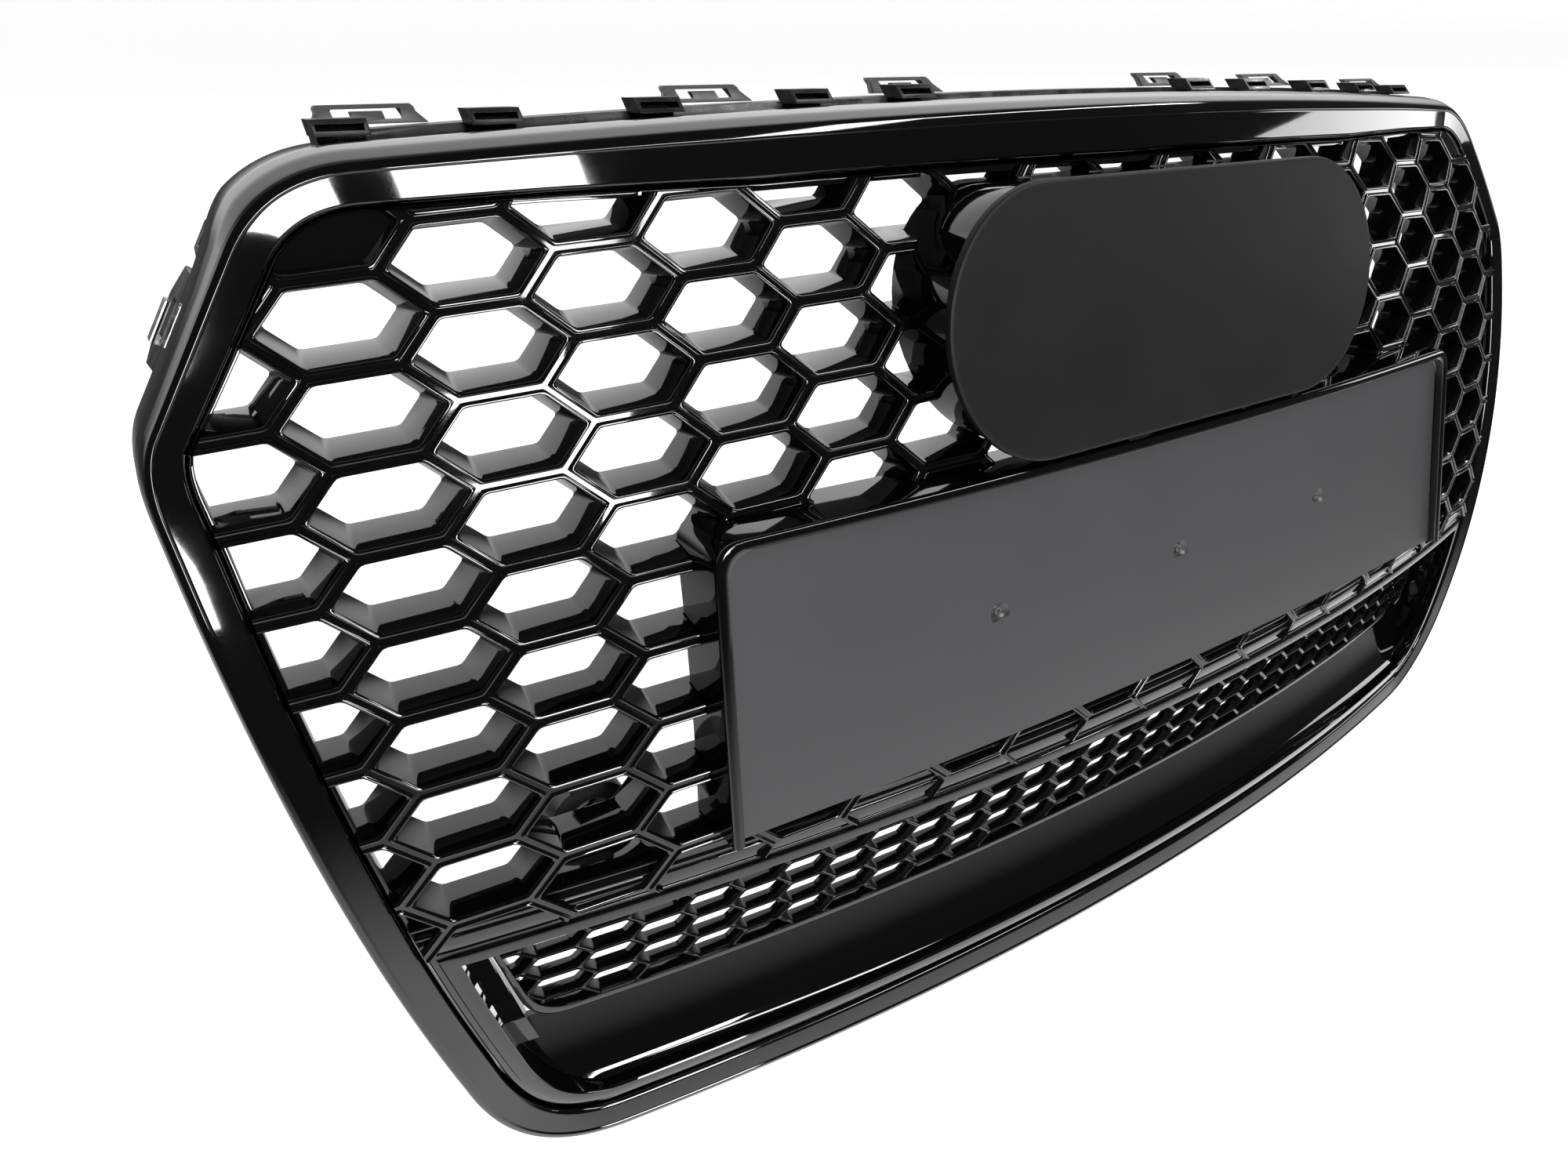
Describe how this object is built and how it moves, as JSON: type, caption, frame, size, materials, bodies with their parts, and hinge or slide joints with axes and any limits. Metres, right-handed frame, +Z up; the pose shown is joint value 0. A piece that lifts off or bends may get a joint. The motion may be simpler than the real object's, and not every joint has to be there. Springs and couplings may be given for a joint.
{
  "type": "front grille",
  "caption": "Vehicle front grille with honeycomb insert, plate carrier, blank emblem pad, lower bezel with fine mesh, rear rail and clip tabs.",
  "frame": {"origin": "the middle of the whole grille's bounding box", "axes": "+X to the right seen from the front, +Y rearward into the vehicle, +Z up"},
  "size_m": [0.8748, 0.1736, 0.4424],
  "materials": {
    "gloss_black": "high gloss black moulding",
    "satin_black": "satin black moulding",
    "matte_black": "smooth matt dark grey",
    "rear_plastic": "black semi-gloss, moulded",
    "spring_steel": "bright spring steel strip",
    "dark_screw": "dark zinc-coated screw"
  },
  "bodies": {
    "root": {"outer_frame": "gloss_black", "honeycomb_insert": "gloss_black", "plate_base": "satin_black", "emblem_pedestal": "gloss_black", "emblem_pad": "matte_black", "lower_bezel": "gloss_black", "lower_mesh": "gloss_black", "lower_panel": "gloss_black", "top_rail": "rear_plastic", "top_tab_1": "rear_plastic", "top_tab_2": "rear_plastic", "top_tab_3": "rear_plastic", "top_tab_4": "rear_plastic", "top_tab_5": "rear_plastic", "top_tab_6": "rear_plastic", "side_bracket_left": "rear_plastic", "side_slot_bracket_left": "rear_plastic", "side_clip_left": "spring_steel", "sensor_holder_left": "rear_plastic", "sensor_retainer_left": "rear_plastic", "side_bracket_right": "rear_plastic", "side_slot_bracket_right": "rear_plastic", "side_clip_right": "spring_steel", "sensor_holder_right": "rear_plastic", "sensor_retainer_right": "rear_plastic", "plate_screw_1": "dark_screw", "plate_screw_2": "dark_screw", "plate_screw_3": "dark_screw", "plate_screw_4": "dark_screw", "emblem_screw_1": "dark_screw", "emblem_screw_2": "dark_screw", "insert_screw_1": "dark_screw", "insert_screw_2": "dark_screw", "insert_screw_3": "dark_screw"}
  },
  "joints": []
}
